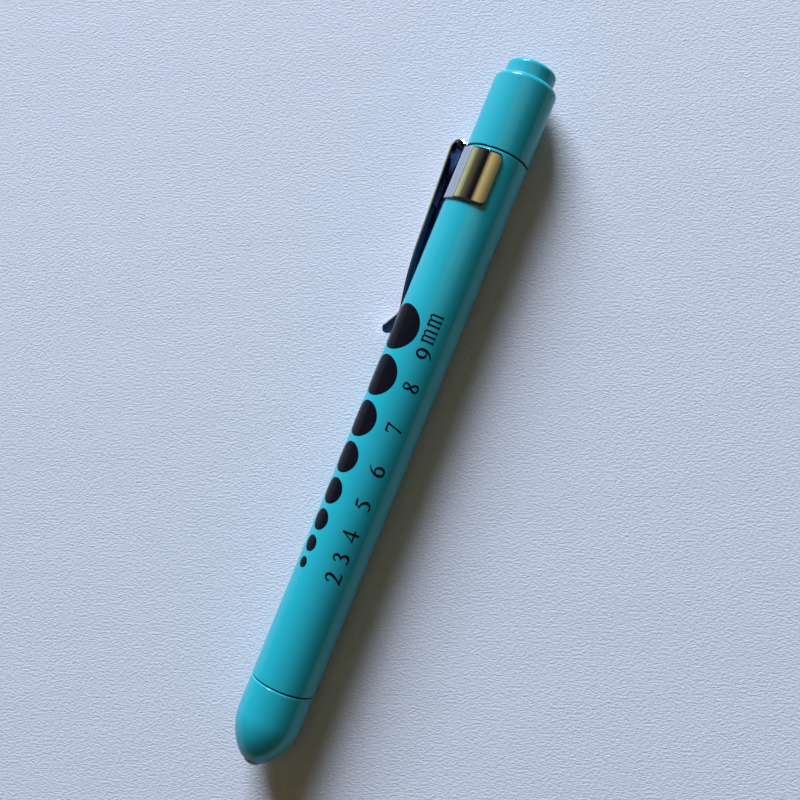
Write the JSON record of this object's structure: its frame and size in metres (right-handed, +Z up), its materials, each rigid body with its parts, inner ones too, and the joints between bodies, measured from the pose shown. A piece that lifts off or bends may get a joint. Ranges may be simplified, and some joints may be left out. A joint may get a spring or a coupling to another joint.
{
  "type": "penlight",
  "caption": "Slim aluminium pocket penlight with a tail push button, a folded spring-steel pocket clip, a clear domed lens in a rounded nose and a printed pupil gauge.",
  "frame": {"origin": "centre of the object's bounding box, on the surface that it lies on", "axes": "+X along the pen towards its nose, +Z up as it lies on its side, +Y away from the clip"},
  "size_m": [0.1422, 0.0158, 0.0134],
  "materials": {
    "anodised": "satin turquoise anodised aluminium",
    "ink": "glossy black ink",
    "cell_can": "bright plated can",
    "cell_jacket": "plain printed sleeve",
    "clip_steel": "polished spring steel",
    "clear": "clear polished",
    "plated": "bright plated wire",
    "white_plastic": "moulded",
    "dark_plastic": "moulded",
    "orange_plastic": "moulded",
    "blue_plastic": "moulded",
    "board": "lacquered circuit board",
    "brass": "turned"
  },
  "bodies": {
    "barrel": {"barrel": "anodised", "gauge_dots": "ink", "rear_cell_can": "cell_can", "rear_cell_jacket": "cell_jacket", "front_cell_can": "cell_can", "front_cell_jacket": "cell_jacket", "clip_band": "clip_steel"},
    "clip": {"clip_arm": "clip_steel"},
    "nose": {"nose_cap": "anodised", "lens": "clear", "led_body": "clear", "led_frame": "plated", "led_bush": "white_plastic", "led_carrier": "dark_plastic", "led_board": "board", "led_resistor": "dark_plastic", "lamp_contact": "brass", "lamp_spring": "plated", "lamp_ring": "brass"},
    "tail": {"tail_cap": "anodised", "switch_housing": "white_plastic", "switch_base": "dark_plastic", "tail_contact": "brass", "tail_spring": "plated", "tail_ring": "brass", "switch_spring": "plated"},
    "button": {"button": "anodised", "switch_plunger": "orange_plastic"},
    "cam": {"switch_cam": "blue_plastic", "contact_disc": "brass"}
  },
  "joints": [
    {"name": "nose_cap_off", "type": "slide", "parent": "barrel", "child": "nose", "axis": [1, 0, 0], "range_m": [0, 0.018]},
    {"name": "tail_cap_off", "type": "slide", "parent": "barrel", "child": "tail", "axis": [-1, 0, 0], "range_m": [0, 0.024]},
    {"name": "button_press", "type": "slide", "parent": "tail", "child": "button", "axis": [1, 0, 0], "range_m": [0, 0.0022], "stiffness_N_per_m": 500, "springref_m": -0.002, "deforming": ["switch_spring"]},
    {"name": "cam_turn", "type": "hinge", "parent": "button", "child": "cam", "pos_m": [-0.0578, 0.00168, 0.00672], "axis": [1, 0, 0], "range_deg": [0, 22.5]},
    {"name": "clip_flex", "type": "hinge", "parent": "barrel", "child": "clip", "pos_m": [-0.0522, -0.00532, 0.00318], "axis": [0, 0.4509, -0.8926], "range_deg": [0, 4.5], "stiffness_Nm_per_rad": 0.8, "springref_deg": -1.72}
  ],
  "couplings": [
    {"joint": "cam_turn", "follows": "button_press", "rad_per_m": 178.48}
  ]
}
